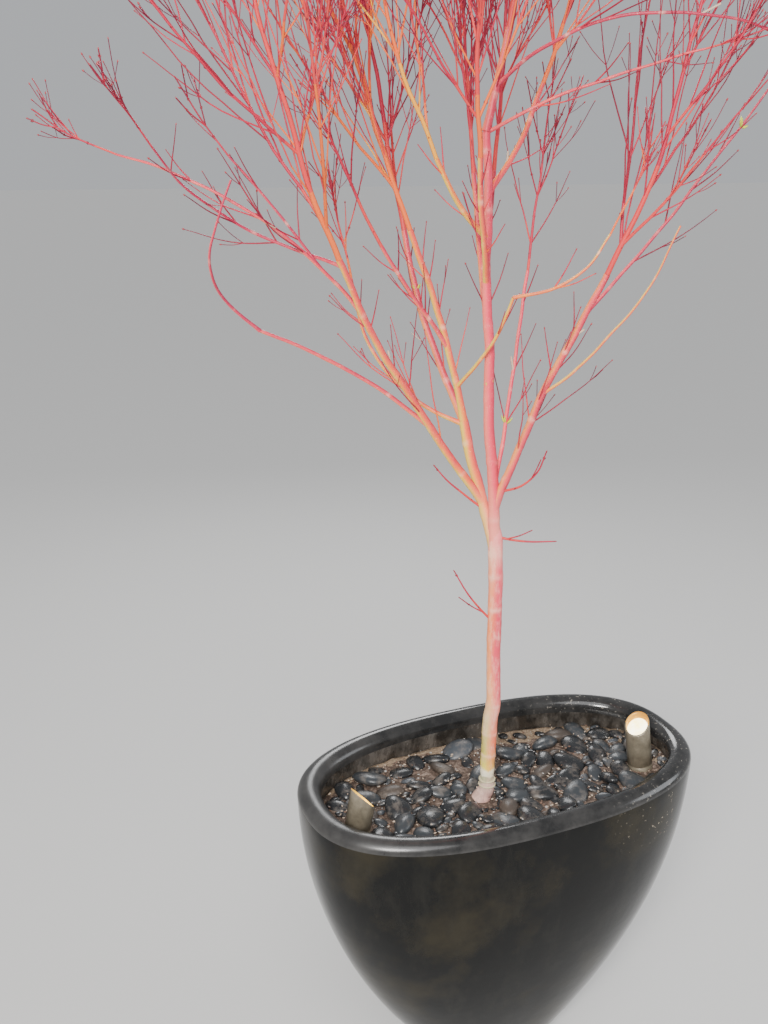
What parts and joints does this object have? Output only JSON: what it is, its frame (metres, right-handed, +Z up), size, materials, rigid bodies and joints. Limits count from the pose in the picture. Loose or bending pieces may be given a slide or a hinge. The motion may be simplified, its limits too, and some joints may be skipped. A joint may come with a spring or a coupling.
{
  "type": "potted japanese maple, bare in winter",
  "caption": "Small bare maple with a thin trunk, vase of boughs and fine coral twigs, in an oval glazed pot filled with pebbles and two small uplights.",
  "frame": {"origin": "middle of the pot's flat foot", "axes": "+Z up; +X along the pot's long side, towards the end that is farther and to the right in the picture; +Y across the pot, away from the picture's camera"},
  "size_m": [0.9914, 0.6913, 2.2204],
  "materials": {
    "pot_glaze": "high gloss black glaze with faint brown mottling",
    "soil_and_pebbles": "polished dark river pebbles over brown soil",
    "uplight_body": "satin bronze",
    "uplight_lens": "clear, lit golden",
    "bark": "smooth thin bark, coral and orange to tan",
    "twigs": "smooth coral red to deep red bark"
  },
  "bodies": {
    "root": {"pot": "pot_glaze", "soil_and_pebbles": "soil_and_pebbles", "uplight_right": "uplight_body", "uplight_right_lens": "uplight_lens", "uplight_left": "uplight_body", "uplight_left_lens": "uplight_lens", "trunk": "bark", "left_stem": "bark", "leader": "bark", "leader_top": "bark", "bough_left": "bark", "bough_inner": "bark", "bough_orange": "bark", "bough_low": "bark", "bough_cross": "bark", "bough_right": "bark", "slender_right": "bark", "hook_lower": "bark", "hook_upper": "bark", "sweep_front": "bark", "sweep_right": "bark", "bough_gold": "bark", "bough_rose": "bark", "far_left": "bark", "left_twin": "bark", "long_left": "bark", "side_right": "bark", "far_right": "bark", "arch_right": "bark", "reach_right": "bark", "bough_back": "bark", "bough_front": "bark", "bough_far": "bark", "crown_top": "twigs", "spray_gold": "twigs", "spray_rose": "twigs", "spray_inner": "twigs", "spray_orange": "twigs", "spray_left": "twigs", "spray_right": "twigs", "spray_back": "twigs", "spray_front": "twigs", "spray_far": "twigs", "tips_far_left": "twigs", "tips_left_twin": "twigs", "tips_long_left": "twigs", "tips_low": "twigs", "tips_cross": "twigs", "tips_sweep": "twigs", "tips_slender": "twigs", "tips_far_right": "twigs", "tips_reach": "twigs", "sprig_trunk_left": "twigs", "sprig_trunk_right": "twigs", "sprig_fork_left": "twigs", "sprig_fork_right": "twigs"}
  },
  "joints": []
}
